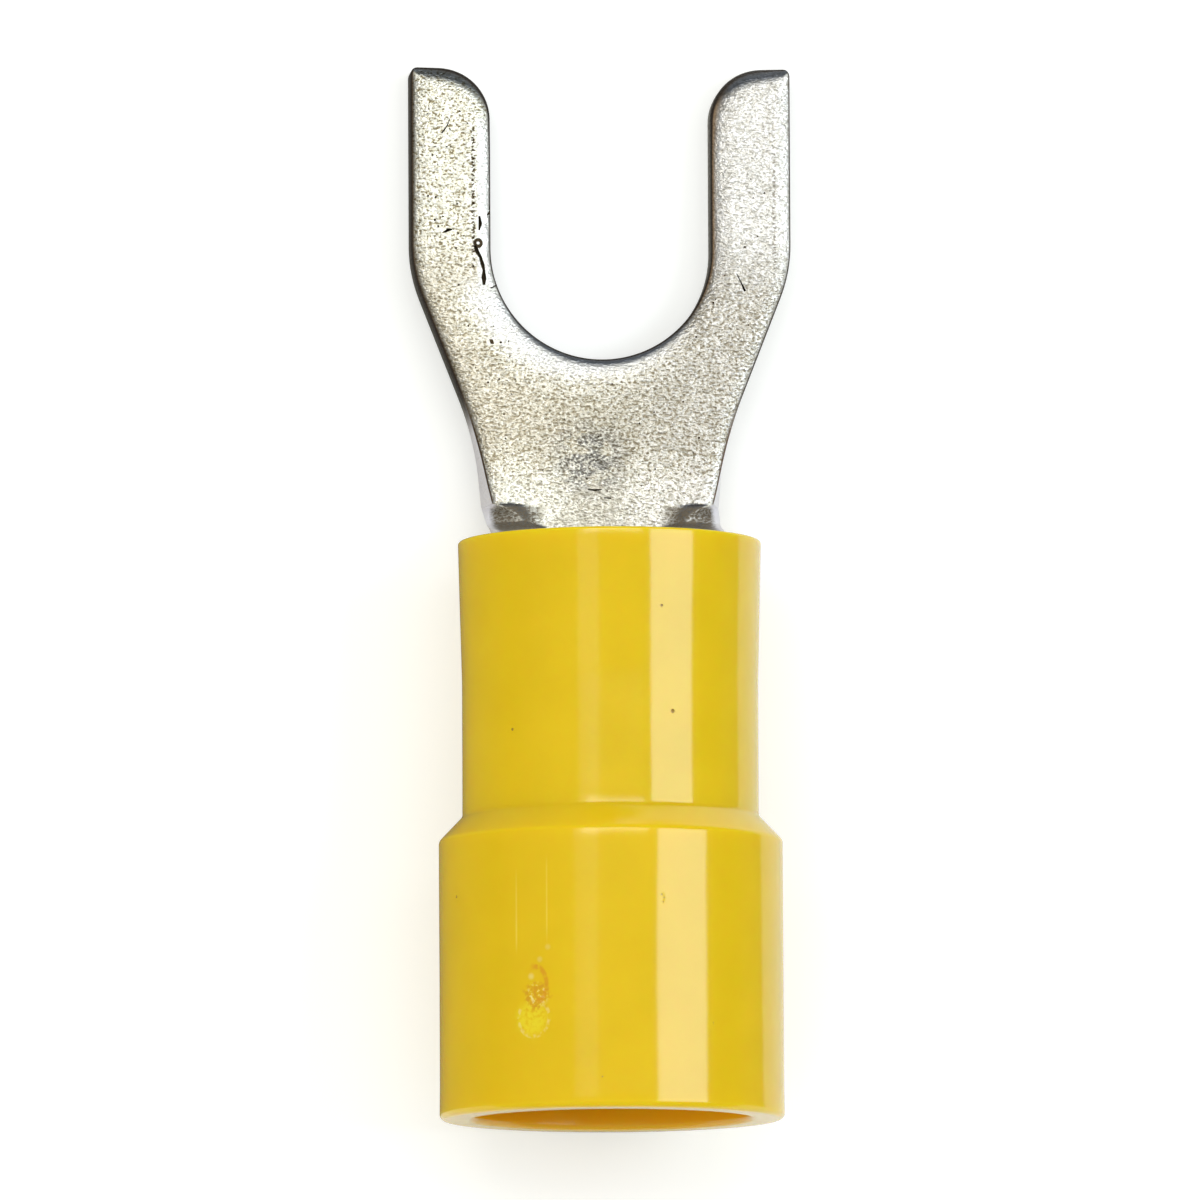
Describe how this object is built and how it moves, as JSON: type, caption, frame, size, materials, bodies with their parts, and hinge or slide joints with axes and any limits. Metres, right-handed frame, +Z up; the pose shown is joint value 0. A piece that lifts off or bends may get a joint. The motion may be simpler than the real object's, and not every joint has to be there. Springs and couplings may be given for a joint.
{
  "type": "insulated fork terminal",
  "caption": "Crimp fork terminal: flat tinned copper fork with a round-bottomed slot, neck curled into a rolled barrel, and a stepped yellow insulating sleeve with a funnel mouth.",
  "frame": {"origin": "centre of the footprint, on the surface that the terminal lies on", "axes": "+Z up from the table, +Y along the terminal towards the fork's tips, -Y towards the wire's mouth, X across the fork; the terminal lies nose down by 4.07 degrees on both tips and the bell's front edge, seam side up"},
  "size_m": [0.009, 0.0252, 0.0086],
  "materials": {
    "tinned_copper": "satin",
    "yellow_sleeve": "gloss"
  },
  "bodies": {
    "root": {"fork_lug": "tinned_copper", "insulating_sleeve": "yellow_sleeve"}
  },
  "joints": []
}
